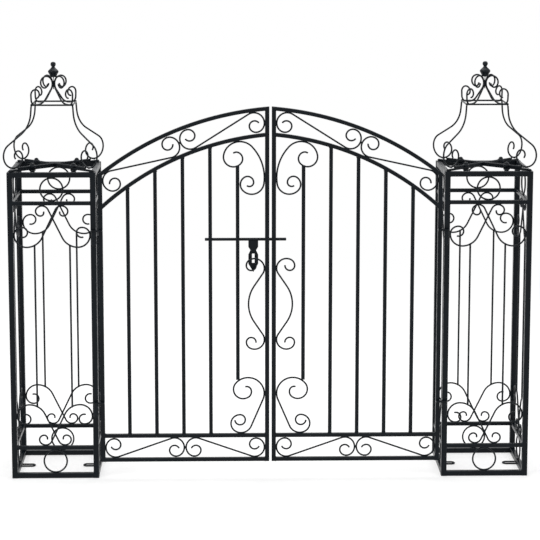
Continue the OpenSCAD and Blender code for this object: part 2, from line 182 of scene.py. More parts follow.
def satinPowderCoat():
    # the colour is clouded by one noise and paled by another times the worn attribute, a third
    # is the roughness, and a fine fourth one is the height of the orange peel
    look = powderCoat
    made = bpy.data.materials.new("satinBlackPowderCoat")
    tree = emptyTree(made)
    place = addNode(tree, "ShaderNodeTexCoord").outputs["Object"]
    level = {}
    for key, (size, detail, given, wanted) in look["noises"].items():
        noise = addNode(tree, "ShaderNodeTexNoise", {"Vector": place, "Scale": 1/size,
                        "Detail": detail, "Roughness": look["noiseRoughness"]})
        level[key] = addNode(tree, "ShaderNodeMapRange", {"Value": noise.outputs["Fac"],
                             "From Min": given[0], "From Max": given[1], "To Min": wanted[0],
                             "To Max": wanted[1]}).outputs[0]
    edge = addNode(tree, "ShaderNodeAttribute", attribute_name="worn").outputs["Fac"]
    thinned = addNode(tree, "ShaderNodeMath", {0: edge, 1: level["thin"]},
                      operation="MULTIPLY").outputs[0]
    colour = linear(look["colour"])
    for share, other in ((level["cloud"], look["cloud"]), (thinned, look["worn"])):
        colour = addNode(tree, "ShaderNodeMix", {0: share, 6: colour, 7: linear(other)},
                         data_type="RGBA").outputs[2]
    grain = addNode(tree, "ShaderNodeTexNoise", {"Vector": place, "Scale": 1/look["peelSize"],
                    "Detail": look["peelDetail"], "Roughness": look["noiseRoughness"]})
    peel = addNode(tree, "ShaderNodeBump", {"Height": grain.outputs["Fac"], "Strength": 1.0,
                   "Distance": look["peelDepth"]})
    shader = addNode(tree, "ShaderNodeBsdfPrincipled", {"Base Color": colour,
                     "Roughness": level["rough"], "Specular IOR Level": look["specular"],
                     "Normal": peel.outputs[0]})
    addNode(tree, "ShaderNodeOutputMaterial", {"Surface": shader.outputs[0]})
    return made


coat = satinPowderCoat()

# A part is (vertices, corners, sizes, worn): corners holds every face's vertex numbers end to
# end, sizes how many each face has, and worn one number for each vertex, 1 on an edge where the
# coat is thin
wear = dict(roundBar=0.25, turned=0.3, easedEnd=0.8, hexEdge=0.8, weld=0.1)
quarter = np.radians([0, 30, 60, 90])       # a quarter circle in three steps
sharpAngle = 50                             # a steeper edge than this, in degrees, stays sharp


def roundProfile(diameter, count=12):
    # x = r cos t, y = r sin t, once round
    t = np.linspace(0, 2*np.pi, count, endpoint=False)
    return np.stack([np.cos(t), np.sin(t)], 1)*diameter/2, np.full(count, wear["roundBar"])


def hexProfile(across):
    # the same in six steps, across its corners
    t = np.radians(np.arange(6)*60)
    return np.stack([np.cos(t), np.sin(t)], 1)*across/2, np.full(6, wear["hexEdge"])


def squareProfile(side, corner=0.0011, steps=4):
    # four quarter circles of radius corner, each centred one corner radius in from the
    # square's own corners; worn = sin 2t, so it is 1 in the middle of each quarter
    t = np.linspace(0, np.pi/2, steps)
    bend = np.stack([np.cos(t), np.sin(t)], 1)*corner + side/2 - corner
    turns = [np.array([[c, s], [-s, c]]) for c, s in ((1, 0), (0, 1), (-1, 0), (0, -1))]
    return np.concatenate([bend @ turn for turn in turns]), np.tile(np.sin(2*t), 4)


def gridPart(rings, worn, closed=False):
    # rings[i, j] is vertex j of ring i; each quad joins j to j + 1 and ring i to ring i + 1, and
    # a row of rings that isn't closed has one flat face over each end
    count, sides = rings.shape[:2]
    ring = np.arange(count if closed else count - 1)[:, None]
    side = np.arange(sides)[None, :]
    ahead, beside = (ring + 1) % count, (side + 1) % sides
    corners = np.stack([ring*sides + side, ring*sides + beside, ahead*sides + beside,
                        ahead*sides + side], -1).reshape(-1)
    sizes = np.full(len(corners)//4, 4)
    if not closed:
        corners = np.r_[corners, side[0, ::-1], side[0] + (count - 1)*sides]
        sizes = np.r_[sizes, sides, sides]
    return rings.reshape(-1, 3), corners, sizes, np.broadcast_to(worn, (count, sides)).reshape(-1)


def carried(points, across, up, profile, ease=0.0, closed=False, slope=0.0):
    # ring i = point i + scale i * (profile x * across i + profile y * up i); at a free end the
    # profile draws in along a quarter circle of radius ease, and slope shears the far end's rings
    shape, worn = profile
    worn = np.tile(worn, (len(points), 1))
    scale, steps = np.ones(len(points)), len(quarter)
    if ease > 0 and not closed:
        along = ease*(1 - np.cos(quarter))
        drawn = 1 - ease*(1 - np.sin(quarter))/np.abs(shape).max()
        forward, last = np.cross(across, up), len(across) - 1
        points = np.concatenate([points[0] + forward[0]*along[:, None], points[1:-1],
                                 points[-1] - forward[-1]*along[::-1, None]])
        repeat = np.r_[np.zeros(steps, int), np.arange(1, last), np.full(steps, last)]
        across, up, worn = across[repeat], up[repeat], worn[repeat]
        scale = np.r_[drawn, np.ones(len(points) - 2*steps), drawn[::-1]]
        worn[[1, 2, -2, -3]] = wear["easedEnd"]
    flat = scale[:, None, None]*shape[None]
    rings = points[:, None] + flat[..., :1]*across[:, None] + flat[..., 1:]*up[:, None]
    forward = np.cross(across, up)
    rings[-steps:] += flat[-steps:, :, :1]*slope*forward[-steps:, None]
    return gridPart(rings, worn, closed)


def bar(a, b, profile, ease=0.0006, across=None, slope=0.0):
    # a straight length from a to b, turned so that its profile's x runs along across
    a, b = np.array(a, float), np.array(b, float)
    forward = (b - a)/np.linalg.norm(b - a)
    if across is None:
        across = (1, 0, 0) if abs(forward[0]) < 0.9 else (0, 1, 0)
    across = np.array(across, float)
    across -= forward*(across @ forward)
    across /= np.linalg.norm(across)
    up = np.cross(forward, across)
    return carried(np.array([a, b]), np.tile(across, (2, 1)), np.tile(up, (2, 1)), profile, ease,
                   slope=slope)


def hoop(r, centre, profile, start=0.0, end=2*np.pi, count=64, closed=True):
    # a bar bent round an axis along Y: point = centre + r * (cos t, 0, sin t)
    t = np.linspace(start, end, count, endpoint=not closed)
    out = np.stack([np.cos(t), 0*t, np.sin(t)], 1)
    return carried(r*out + centre, out, np.tile([0.0, 1.0, 0.0], (count, 1)), profile,
                   closed=closed)


def arc(x, z, r, angles):
    # outline points (x + r cos a, z + r sin a)
    return np.stack([x + r*np.cos(angles), z + r*np.sin(angles)], 1)


def lathe(outline, centre, count=32, closed=False):
    # each outline point (r, z) goes once round: x = r cos t, y = r sin t
    outline = np.array(outline, float)
    t = np.linspace(0, 2*np.pi, count, endpoint=False)
    rings = np.stack([outline[:, :1]*np.cos(t), outline[:, :1]*np.sin(t),
                      np.repeat(outline[:, 1:], count, 1)], -1) + np.array(centre)
    return gridPart(rings, np.full((len(outline), 1), wear["turned"]), closed)


def smoothOutline(points, steps):
    # Catmull-Rom: between points b and c, with a before and d after,
    # ((2b) + (c - a)t + (2a - 5b + 4c - d)t^2 + (3b - a - 3c + d)t^3) / 2
    p = np.array(points, float)
    p = np.concatenate([p[:1], p, p[-1:]])
    a, b, c, d = p[:-3, None], p[1:-2, None], p[2:-1, None], p[3:, None]
    t = np.linspace(0, 1, steps, endpoint=False)[None, :, None]
    curve = (2*b + (c - a)*t + (2*a - 5*b + 4*c - d)*t**2 + (3*b - a - 3*c + d)*t**3)/2
    curve = np.concatenate([curve.reshape(-1, 2), p[-1:]])
    curve[:, 0] = np.maximum(curve[:, 0], 0.0002)       # never quite on the axis
    return curve


def moved(part, by=(0, 0, 0), turn=0.0):
    # turned about the vertical by turn degrees, then moved
    c, s = math.cos(math.radians(turn)), math.sin(math.radians(turn))
    vertices, *rest = part
    return vertices @ np.array([[c, s, 0], [-s, c, 0], [0, 0, 1]]) + np.array(by), *rest


def mirrored(part, axis=0, at=0.0):
    # the coordinate along axis becomes 2 at - it, and the corners run backwards, so that every
    # face still points outwards
    vertices, corners, sizes, worn = part
    vertices = vertices.copy()
    vertices[:, axis] = 2*at - vertices[:, axis]
    return vertices, corners[::-1], sizes[::-1], worn


def show(name, parts, node, body):
    # one piece from its parts: smooth, with true edges kept sharp, standing for its CAD node
    vertices, corners, sizes, worn = zip(*parts)
    starts = np.cumsum([0] + [len(each) for each in vertices[:-1]])
    corners = np.concatenate([each + start for each, start in zip(corners, starts)])
    vertices, sizes, worn = (np.concatenate(each) for each in (vertices, sizes, worn))
    vertices[:, 2] = np.maximum(vertices[:, 2], 0.0)    # a weld never reaches below the ground
    mesh = bpy.data.meshes.new(name)
    mesh.vertices.add(len(vertices))
    mesh.vertices.foreach_set("co", vertices.astype(np.float32).reshape(-1))
    mesh.loops.add(len(corners))
    mesh.loops.foreach_set("vertex_index", corners.astype(np.int32))
    mesh.polygons.add(len(sizes))
    mesh.polygons.foreach_set("loop_start", (np.cumsum(sizes) - sizes).astype(np.int32))
    mesh.update(calc_edges=True)
    mesh.attributes.new("worn", "FLOAT", "POINT").data.foreach_set("value", worn.astype(np.float32))
    mesh.shade_smooth()
    mesh.set_sharp_from_angle(angle=math.radians(sharpAngle))
    mesh.materials.append(coat)
    mesh.validate()
    piece = addObject(name, mesh)
    piece.modifiers.new("evenNormals", "WEIGHTED_NORMAL").keep_sharp = True
    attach(piece, body)
    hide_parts(node)


# A wire runs round pegs (x, y, r) as a belt runs round pulleys. r is the bend's radius: over
# zero it turns left, under zero it turns right, and zero is a plain end.
scrollWire = dict(diameter=0.0040, sunk=0.0005, tight=0.7, stepDegrees=5.0, ease=0.0007)
half = scrollWire["diameter"]/2
seat = half - scrollWire["sunk"]        # from the wire's middle to what it is welded on


def heading(p, q):
    # direction of the straight that touches both bends: the line between the pegs, less the
    # angle whose sine is the difference of the radii over the pegs' distance
    dx, dy = q[0] - p[0], q[1] - p[1]
    return math.atan2(dy, dx) - math.asin(max(-1, min(1, (q[2] - p[2])/math.hypot(dx, dy))))


def takesOver(p, degrees, r):
    # the peg of radius r whose bend starts where peg p's has reached that heading, which is at
    # (x + r sin h, y - r cos h) for peg p
    h = math.radians(degrees)
    x, y = p[0] + p[2]*math.sin(h), p[1] - p[2]*math.cos(h)
    return x - r*math.sin(h), y + r*math.cos(h), r


def curl(peg, h, turns, tight):
    # an inward curl: one sweep for each entry of turns, each on a radius tight times the last
    sweeps = []
    for turn in turns:
        end = h + math.copysign(math.radians(turn), peg[2])
        sweeps.append((peg, h, end))
        peg, h = takesOver(peg, math.degrees(end), peg[2]*tight), end
    return sweeps


def route(pegs, first, last, tight):
    # every bend in order, as (peg, heading in, heading out); a bend under half a degree, or that
    # much short of a full turn, is a straight
    heads = [heading(a, b) for a, b in zip(pegs, pegs[1:])]
    sweeps = []
    for peg, came, goes in zip(pegs[1:-1], heads, heads[1:]):
        turn = goes - came
        turn = turn % (2*math.pi) if peg[2] > 0 else -(-turn % (2*math.pi))
        if math.radians(0.5) < abs(turn) < math.radians(359.5):
            sweeps.append((peg, came, came + turn))
    x, y, r = pegs[0]
    start = curl((x, y, -r), heads[0] + math.pi, first, tight[0])
    before = [((px, py, -pr), b + math.pi, a + math.pi) for (px, py, pr), a, b in start[::-1]]
    after = curl(pegs[-1], heads[-1], last, tight[1])
    return (before or [(pegs[0], heads[0], heads[0])]) + sweeps + \
        (after or [(pegs[-1], heads[-1], heads[-1])])


def wire(pegs, first=(), last=(), tight=(scrollWire["tight"],)*2, flat=False):
    # a round bar along the route: on a bend, point = (x + r sin h, y - r cos h) for headings h
    # in small equal steps. It is drawn in XZ, or in XY if flat
    pieces = []
    for (x, y, r), a, b in route(pegs, first, last, tight):
        h = np.linspace(a, b, 1 + math.ceil(abs(math.degrees(b - a))/scrollWire["stepDegrees"]))
        pieces.append(np.stack([x + r*np.sin(h), y - r*np.cos(h), h], 1))
    line = np.concatenate(pieces)
    far = np.hypot(*np.diff(line[:, :2], axis=0).T) > 2e-5      # two bends share their end point
    x, y, h = line[np.r_[True, far]].T
    none = np.zeros_like(x)
    points, across = np.stack([x, y, none], 1), np.stack([-np.sin(h), np.cos(h), none], 1)
    up = np.tile([0.0, 0.0, 1.0], (len(x), 1))
    if not flat:
        points, across, up = (v[:, [0, 2, 1]]*(1, -1, 1) for v in (points, across, up))
    return carried(points, across, up, roundProfile(scrollWire["diameter"]), scrollWire["ease"])


# Each kind of bead: its size, and how far it spreads in X, Y and Z
beads = dict(rail=(0.0022, (1.5, 1.0, 0.8)), tube=(0.0022, (0.7, 0.9, 1.5)),
             longRod=(0.0026, (1.0, 0.9, 0.9)), crossEnd=(0.0040, (1.1, 1.2, 0.62)),
             rodHub=(0.0036, (1.3, 1.3, 0.9)), legFoot=(0.0030, (1.4, 0.9, 0.8)),
             collar=(0.0030, (1.1, 1.0, 1.0)), barrel=(0.0020, (0.8, 0.7, 2.5)),
             archEnd=(0.0018, (0.9, 0.6, 2.4)), pair=(0.0022, (0.9, 0.8, 1.4)))
beadForm = dict(lump=0.08, columns=10, rows=8, tip=1.45)
seam = dict(size=0.0009, onArch=0.0011, corner=0.0016, ripple=0.22, rippleStep=2.4)


def weldBead(at, kind):
    # a lumpy ball: radius = size * (1 + lump * sin 3t * cos 2p), for azimuth t and height angle p
    (size, stretch), form = beads[kind], beadForm
    t = np.linspace(0, 2*np.pi, form["columns"], endpoint=False)[None, :]
    p = np.linspace(-form["tip"], form["tip"], form["rows"])[:, None]
    r = size*(1 + form["lump"]*np.sin(3*t)*np.cos(2*p))
    ball = np.stack([r*np.cos(p)*np.cos(t), r*np.cos(p)*np.sin(t), r*np.sin(p) + 0*t], -1)
    return gridPart(ball*np.array(stretch) + np.array(at),
                    np.full((form["rows"], 1), wear["weld"]))


def weldSeam(at, side, axis, size=seam["size"]):
    # a thin rippled rope round a square rail's end: it follows the square with rounded corners,
    # and its radius swells by ripple * sin along its way
    outline, _ = squareProfile(side, seam["corner"], 4)
    along = np.concatenate([np.linspace(outline[k], outline[(k + 1) % 16], 5 if k % 4 == 3 else 1,
                                        endpoint=False) for k in range(16)])
    ahead = np.roll(along, -1, 0) - np.roll(along, 1, 0)
    ahead /= np.linalg.norm(ahead, axis=1, keepdims=True)
    out = np.stack([ahead[:, 1], -ahead[:, 0]], 1)
    t = np.linspace(0, 2*np.pi, 6, endpoint=False)
    swell = size*(1 + seam["ripple"]*np.sin(np.arange(len(along))*seam["rippleStep"]))
    swell = swell[:, None, None]
    rope = np.zeros((len(along), 6, 3))
    rope[..., 1:] = along[:, None] + swell*np.cos(t)[None, :, None]*out[:, None]
    rope[..., :1] = swell*np.sin(t)[None, :, None]
    order = {0: [0, 1, 2], 2: [1, 2, 0]}[axis]      # the rope lies across axis 0 or axis 2
    return gridPart(rope[..., order] + np.array(at), np.full((len(along), 1), wear["weld"]),
                    closed=True)


# The posts: measured from their panels' boxes, then built round the middle of one side
frontLow, frontHigh = (np.array(c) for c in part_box("left_front_panel"))
backLow, backHigh = (np.array(c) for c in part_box("left_back_panel"))
rightLow, rightHigh = (np.array(c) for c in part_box("right_front_panel"))
midX = (frontLow[0] + rightHigh[0])/2       # the gate's middle

post = dict(
    width=frontHigh[0] - frontLow[0], height=frontHigh[2], axisY=(frontLow[1] + backHigh[1])/2,
    tube=0.013, tubeEase=0.0008, corner=0.0014, endRail=0.012, midRail=0.009, lowRailZ=0.069,
    topDrop=0.068, rod=0.0045, rodX=0.041, rodEase=0.0004,
    railIn=0.001)                           # a rail runs this far into the tubes
post["sideOff"] = (post["width"] - post["tube"])/2
post["inner"] = post["width"] - 2*post["tube"]
post["topRailZ"] = post["height"] - post["endRail"]
post["highRailZ"] = post["height"] - post["topDrop"] - post["midRail"]

postScroll = dict(smallR=0.0157, smallX=0.0226, bigR=0.0285, stemR=0.040, height=0.099,
                  smallTurns=(115, 130, 110), bigTurns=(90, 100, 190), tight=(0.70, 0.64))
postScroll["bigX"] = post["inner"]/2 - postScroll["bigR"] - seat


def postMotif():
    # two crossed S scrolls that hang from a rail at z = 0, between the tubes
    s = postScroll
    small = (-s["smallX"], -s["smallR"] - seat, -s["smallR"])
    big = (s["bigX"], s["bigR"] - s["height"], s["bigR"])
    stem = takesOver(big, 0, s["stemR"])
    one = [wire([small, stem, big], s["smallTurns"], s["bigTurns"], s["tight"]),
           weldBead((-s["smallX"], 0, 0), "rail"),
           weldBead((post["inner"]/2, 0, big[1]), "tube")]
    return one + [mirrored(part) for part in one]


def postSide():
    # rails with a weld seam at each end, rings, scrolls and long rods, about the side's middle
    p, s, parts = post, postScroll, []
    reach = p["inner"]/2
    for z, thick in ((0, p["endRail"]), (p["lowRailZ"], p["midRail"]),
                     (p["highRailZ"], p["midRail"]), (p["topRailZ"], p["endRail"])):
        end, mid = reach + p["railIn"], z + thick/2
        parts.append(bar((-end, 0, mid), (end, 0, mid), squareProfile(thick, p["corner"]),
                         ease=0, across=(0, 1, 0)))
        parts += [weldSeam((x, 0, mid), thick, 0) for x in (-reach, reach)]
    lowTop = p["lowRailZ"] + p["midRail"]
    for low, high in ((p["endRail"], p["lowRailZ"]),
                      (p["highRailZ"] + p["midRail"], p["topRailZ"])):
        parts.append(hoop((high - low)/2 - seat, (0, 0, (low + high)/2),
                          roundProfile(scrollWire["diameter"])))
        parts += [weldBead((0, 0, z), "rail") for z in (low, high)]
    motif = postMotif()
    parts += [moved(part, (0, 0, p["highRailZ"])) for part in motif]
    parts += [moved(mirrored(part, 2), (0, 0, lowTop)) for part in motif]
    # a rod ends on the scroll's stem: z = r - height - root of (r squared - x squared)
    rodEnd = s["stemR"] - s["height"] - math.sqrt(s["stemR"]**2 - (p["rodX"] - s["bigX"])**2)
    for x in (-p["rodX"], p["rodX"]):
        ends = (lowTop - rodEnd, p["highRailZ"] + rodEnd)
        parts.append(bar((x, 0, ends[0]), (x, 0, ends[1]), roundProfile(p["rod"]), p["rodEase"]))
        parts += [weldBead((x, 0, z), "longRod") for z in ends]
    return parts


def cornerTubes():
    return [bar((x, 0, 0), (x, 0, post["height"]), squareProfile(post["tube"], post["corner"]),
                post["tubeEase"], (1, 0, 0)) for x in (-post["sideOff"], post["sideOff"])]


def postPanels():
    # the same side four times, and the tubes with its front and its back; each entry is
    # (piece name, parts, CAD node, body) as drawn at the left post
    side, tubes, off, y = postSide(), cornerTubes(), post["sideOff"], post["axisY"]
    placed = dict(front=(side + tubes, (0, y - off, 0), 0), back=(side + tubes, (0, y + off, 0), 0),
                  outer=(side, (-off, y, 0), 90), gate=(side, (off, y, 0), 90))
    return [(f"{key}Side", [moved(part, by, turn) for part in parts], f"{key}_panel", "posts")
            for key, (parts, by, turn) in placed.items()]


crown = dict(cross=0.005, crossCorner=0.0008, crossEase=0.0006, crossWeldIn=0.002,
             rod=0.005, rodEase=0.0009, rodPast=0.0010,
             collar=0.0965, collarCorner=0.0030, collarHeight=0.147, collarWeldIn=0.0012,
             finial=0.025, finialHeight=0.033)
crown["baseZ"] = post["height"] + crown["cross"] + crown["rod"]/2
crown["collarZ"] = post["height"] + crown["collarHeight"]
crown["collarR"] = crown["collar"]/math.sqrt(2)

# Both are drawn outwards along a corner line of the post: (distance out, height)
crownLeg = dict(reach=0.152, footR=0.029, footRise=0.0015, footTurns=(205, 90, 170),
                footTight=0.6, neckR=0.060, neckOut=0.0015, neckDrop=0.010, weldDrop=0.0004)
crownScroll = dict(startIn=0.0125, startZ=0.0270, startR=-0.0125, startTurns=(170, 110),
                   dipZ=0.0158, dipR=-0.0120, riseIn=0.0077, riseZ=0.0340, riseR=-0.0300,
                   bowR=-0.022, throat=0.0035, headR=0.0185, headZ=0.050,
                   headTurns=(130, 120, 110))
# Nut, washer and domed collar: sunk is how far they overlap, and hole stands for a radius of zero
crownClamp = dict(nut=0.012, nutHeight=0.0035, washer=0.0025, collar=0.016, dome=0.0106,
                  shelfUp=0.0006, ease=0.0007, sunk=0.0002, hole=0.0004, ledge=0.0003)


def around(parts, turns=(45, 135, 225, 315), z=0.0):
    # the same parts on each corner line of the post
    return [moved(part, (0, post["axisY"], z), turn) for turn in turns for part in parts]


def topCross():
    # two flat bars corner to corner, welded on the tubes' tops
    r, thick = post["sideOff"]*math.sqrt(2), crown["cross"]
    strip = bar((-r, 0, thick/2), (r, 0, thick/2), squareProfile(thick, crown["crossCorner"]),
                crown["crossEase"], (0, 1, 0))
    ends = (crown["crossWeldIn"] - r, r - crown["crossWeldIn"])
    return around([strip] + [weldBead((x, 0, thick/2), "crossEnd") for x in ends], (45, 135),
                  post["height"])


def crownBase():
    # each rod ends where the foot curl above it has risen by its seat on the rod
    foot = crownLeg["footR"]
    lift = (crown["rod"] + scrollWire["diameter"])/2 - crownLeg["footRise"]
    reach = crownLeg["reach"] - foot - math.sqrt(foot**2 - (foot - lift)**2) + crown["rodPast"]
    rod = bar((-reach, 0, 0), (reach, 0, 0), roundProfile(crown["rod"], 16), crown["rodEase"],
              (0, 1, 0))
    return around([rod, weldBead((0, 0, 0), "rodHub")], (45, 135), crown["baseZ"])


def crownClamps():
    # on each corner line, a nut and a washer under the cross bar, and over it a collar round the
    # rod with a domed cap
    c, r = crownClamp, post["sideOff"]*math.sqrt(2)/2
    e, hole, wide, dome, under = c["ease"], c["hole"], c["collar"]/2, c["dome"]/2, -c["washer"]
    low, shelf = crown["cross"] - c["sunk"], crown["cross"] + crown["rod"] + c["shelfUp"]
    nut = bar((r, 0, under - c["nutHeight"]), (r, 0, under + c["sunk"]), hexProfile(c["nut"]), e)
    washer = [(hole, under), (wide - e, under), (wide, under + e), (wide, -e),
              (wide - e, c["sunk"]), (hole, c["sunk"])]
    cap = arc(0, shelf, dome, np.radians(np.arange(0, 90, 9)))
    collar = [(hole, low), (wide - e, low), (wide, low + e), (wide, shelf - 2*e),
              (wide - 2*e, shelf), (dome + c["ledge"], shelf), *cap, (hole, shelf + dome)]
    return around([nut] + [lathe(line, (r, 0, 0), 28) for line in (washer, collar)],
                  z=post["height"])


def crownLegs():
    # from the foot's curl up to the neck, bent the other way, and on to the collar
    c, footZ = crownLeg, crown["baseZ"] + crownLeg["footRise"]
    foot = (c["reach"] - c["footR"], footZ + c["footR"], c["footR"])
    neck = (crown["collarR"] + c["neckR"] + c["neckOut"], crown["collarZ"] - c["neckDrop"],
            -c["neckR"])
    top = (crown["collarR"], crown["collarZ"] + scrollWire["diameter"]/3, 0)
    leg = wire([foot, neck, top], c["footTurns"], (), (c["footTight"], 1))
    return around([leg, weldBead((foot[0], 0, footZ - c["weldDrop"]), "legFoot")])


def crownCollar():
    # a square ring of wire with rounded corners, and a weld where each leg and scroll meets it
    line, _ = squareProfile(crown["collar"], crown["collarCorner"], 5)
    ahead = np.roll(line, -1, 0) - np.roll(line, 1, 0)
    ahead /= np.linalg.norm(ahead, axis=1, keepdims=True)
    none = np.zeros((len(line), 1))
    out = np.concatenate([ahead[:, 1:], -ahead[:, :1], none], 1)
    ring = carried(np.concatenate([line, none], 1), out, np.tile([0.0, 0.0, -1.0], (len(line), 1)),
                   roundProfile(scrollWire["diameter"]), closed=True)
    z = crown["collarZ"] + scrollWire["diameter"]
    weld = weldBead((crown["collarR"] - crown["collarWeldIn"], 0, 0), "collar")
    return [moved(mirrored(ring, 2), (0, post["axisY"], z))] + around([weld], z=z)


def crownScrolls():
    # each rises from the collar's corner, runs up beside the axis and curls out over its head
    c, x = crownScroll, crown["collarR"] - crownScroll["startIn"]
    head = (c["throat"] + c["headR"], c["headZ"], -c["headR"])
    scroll = wire([(x, c["startZ"], c["startR"]), (x, c["dipZ"], c["dipR"]),
                   (x - c["riseIn"], c["riseZ"], c["riseR"]), takesOver(head, 90, c["bowR"]), head],
                  c["startTurns"], c["headTurns"])
    return around([scroll], z=crown["collarZ"])


def finialKnob():
    # a turned vase on a foot, with a small ball on its neck and a pin below, all one smooth line
    wide, top = crown["finial"]/2, crown["finialHeight"]
    line = smoothOutline([
        (0.0008, -0.0300), (0.0011, -0.0290), (0.0011, -0.0036),                        # pin
        (0.0064, -0.0030), (0.0078, -0.0022), (0.0080, -0.0006), (0.0094, 0.0036),      # foot
        (wide - 0.0005, 0.0078), (wide, 0.0100), (wide - 0.0008, 0.0124),               # belly
        (0.0082, 0.0158), (0.0052, 0.0188), (0.0038, 0.0214),                           # neck
        (0.0052, 0.0234), (0.0062, 0.0262), (0.0060, 0.0290),                           # ball
        (0.0045, top - 0.0014), (0.0022, top - 0.0003), (0.0002, top)], 4)
    z = crown["collarZ"] + crownScroll["headZ"] + crownScroll["headR"]
    return [lathe(line, (0, post["axisY"], z), 36)]


# The U of wire inside each bottom rail takes a ground peg; the barrels stand on the front tube
pegLoop = dict(width=0.016, reach=0.031)
hinge = dict(x=post["width"]/2 - 0.005, barrel=0.0115, height=0.030, pin=0.006, play=0.00005,
             heights=(0.166, 0.576), ease=0.0007, boreEase=0.0003,
             weldX=0.0042, weldY=0.0002, weldRuns=(-0.0105, 0.0, 0.0105))
hinge["y"] = frontLow[1] - hinge["barrel"]/2


def pegLoops():
    # out along one side of the U, round its end and back
    w, reach = pegLoop["width"], pegLoop["reach"]
    loop = wire([(0, -w/2, 0), (reach - w/2, 0, w/2), (0, w/2, 0)], flat=True)
    placed = moved(loop, (-post["sideOff"] + post["endRail"]/2, post["axisY"], half))
    return [placed, mirrored(placed)]


def hingeBarrels():
    # a pipe: outer wall up, over the rim on a quarter circle, and down the bore; the weld to the
    # tube behind is in three runs
    h, tall, e, b = hinge, hinge["height"], hinge["ease"], hinge["boreEase"]
    outer, bore = h["barrel"]/2, h["pin"]/2 + h["play"]
    line = [*arc(outer - e, e, e, -quarter[::-1]), *arc(outer - e, tall - e, e, quarter),
            (bore + b, tall), (bore, tall - b), (bore, b), (bore + b, 0)]
    parts = []
    for z in h["heights"]:
        parts.append(lathe(line, (h["x"], h["y"], z - tall/2), 32, closed=True))
        parts += [weldBead((h["x"] + h["weldX"], frontLow[1] + h["weldY"], z + up), "barrel")
                  for up in h["weldRuns"]]
    return parts


twins = postPanels() + [
    ("topCross", topCross(), "top_cross", "posts"),
    ("crownRods", crownBase(), "crown_base", "posts"),
    ("crownNuts", crownClamps(), "crown_bolts", "posts"),
    ("crownLegs", crownLegs(), "crown_legs", "posts"),
    ("crownCollar", crownCollar(), "crown_collar", "posts"),
    ("crownScrolls", crownScrolls(), "crown_scrolls", "posts"),
    ("finialKnob", finialKnob(), "finial", "posts"),
    ("groundLoops", pegLoops(), "peg_loops", "posts"),
    ("hingeBarrels", hingeBarrels(), "hinge_barrels", "posts")]
print("posts and crowns made")

# The leaves: bay0 and bay1 are the stiles' inner faces, and the left leaf is the one drawn
leafLow, leafHigh = (np.array(c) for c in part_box("left_leaf_panel"))
leaf = dict(x0=leafLow[0], x1=leafHigh[0], z=leafLow[2], sideZ=0.725, meetZ=leafHigh[2],
            archR=0.726, archDrop=0.060, archIn=0.003, stile=0.010, rail=0.009, railIn=0.001,
            bar=0.0085, barIn=0.0005, frieze=0.049, bars=4, pitch=0.0637, shortZ=0.236,
            shortTop=0.744, shortEase=0.0008, stileEase=0.0006, corner=0.0011, weldIn=0.0004)
leaf["y"] = leafLow[1] + leaf["stile"]/2
leaf["bay0"], leaf["bay1"] = leaf["x0"] + leaf["stile"], leaf["x1"] - leaf["stile"]
leaf["friezeLow"] = leaf["z"] + leaf["rail"]
leaf["friezeZ"] = leaf["friezeLow"] + leaf["frieze"]
leaf["bayZ"] = leaf["friezeZ"] + leaf["rail"]
leaf["lowR"] = leaf["archR"] - leaf["archDrop"]

# the arches' centre stands at the arch's radius from both of its ends
ends = np.array([[leaf["x0"], leaf["sideZ"]], [leaf["x1"], leaf["meetZ"]]])
chord = ends[1] - ends[0]
inward = np.array([chord[1], -chord[0]])/np.linalg.norm(chord)
archX, archY = ends.mean(0) + inward*math.sqrt(leaf["archR"]**2 - (np.linalg.norm(chord)/2)**2)


def archZ(r, x):
    return archY + math.sqrt(r*r - (x - archX)**2)


def archBand(r):
    # the rail's square profile carried round the arch, from stile to stile
    mid = r - leaf["rail"]/2
    start, end = (math.acos((x - archX)/mid)
                  for x in (leaf["bay1"] + leaf["archIn"], leaf["bay0"] - leaf["archIn"]))
    return hoop(mid, (archX, leaf["y"], archY), squareProfile(leaf["rail"], leaf["corner"]),
                start, end, closed=False)


def leafStile(x):
    # its top is cut along the arch: slope = -(x - archX) / (height over the arch's centre)
    f, top = leaf, archZ(leaf["archR"], x)
    return bar((x, f["y"], f["z"]), (x, f["y"], top), squareProfile(f["stile"], f["corner"]),
               f["stileEase"], (1, 0, 0), -(x - archX)/(top - archY))


def leafPanel():
    # stiles, arches, bottom rails and full bars, with a seam or beads at every joint; the first
    # pitch from the meeting stile is the short bar's
    f = leaf
    parts = [leafStile(x) for x in (f["x0"] + f["stile"]/2, f["x1"] - f["stile"]/2)]
    parts += [archBand(r) for r in (f["archR"], f["lowR"])]
    for z in (f["z"], f["friezeZ"]):
        mid = z + f["rail"]/2
        parts.append(bar((f["bay0"] - f["railIn"], f["y"], mid),
                         (f["bay1"] + f["railIn"], f["y"], mid),
                         squareProfile(f["rail"], f["corner"]), 0, (0, 1, 0)))
        parts += [weldSeam((x, f["y"], mid), f["rail"], 0) for x in (f["bay0"], f["bay1"])]
    for k in range(f["bars"]):
        x, foot = f["bay1"] - (k + 2)*f["pitch"], f["bayZ"]
        top = archZ(f["lowR"] - f["rail"]/2, x) - f["barIn"]
        parts += [bar((x, f["y"], foot - f["barIn"]), (x, f["y"], top),
                      squareProfile(f["bar"], f["corner"]), 0, (1, 0, 0)),
                  weldSeam((x, f["y"], foot), f["bar"], 2),
                  weldSeam((x, f["y"], archZ(f["lowR"] - f["rail"], x)), f["bar"], 2,
                           seam["onArch"])]
    for x in (f["bay0"], f["bay1"]):
        for r in (f["archR"], f["lowR"]):
            z = archZ(r - f["rail"]/2, x)
            parts += [weldBead((x, f["y"] + y, z), "archEnd")
                      for y in (f["weldIn"] - f["rail"]/2, f["rail"]/2 - f["weldIn"])]
    return parts


